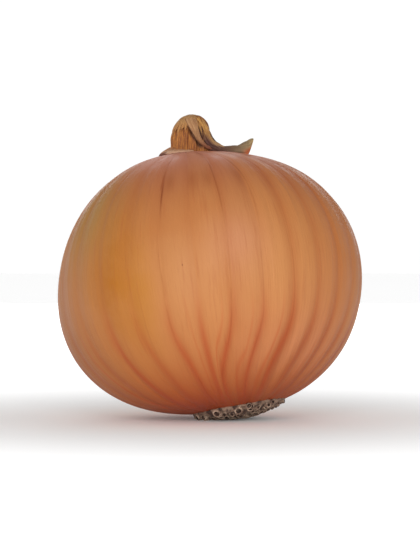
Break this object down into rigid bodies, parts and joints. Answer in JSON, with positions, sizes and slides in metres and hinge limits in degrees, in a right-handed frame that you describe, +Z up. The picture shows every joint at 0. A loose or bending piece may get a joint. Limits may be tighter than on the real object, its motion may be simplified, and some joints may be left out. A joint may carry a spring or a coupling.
{
  "type": "brown onion",
  "caption": "Whole dry onion: a squat ribbed bulb with a dry neck folded over to one side and a round root plate of cut-off roots.",
  "frame": {"origin": "on the surface the onion stands on, in the flat spot of the root plate, below the middle of the bulb", "axes": "+Z up. The neck leans towards -X and a little towards +Y, and its folded tip points to +X."},
  "size_m": [0.0803, 0.0809, 0.0805],
  "materials": {
    "dry_skin": "satin, papery",
    "dry_leaf": "matte, fibrous",
    "dry_root": "matte, rough"
  },
  "bodies": {
    "root": {"bulb": "dry_skin", "neck": "dry_leaf", "root_plate": "dry_root"}
  },
  "joints": []
}
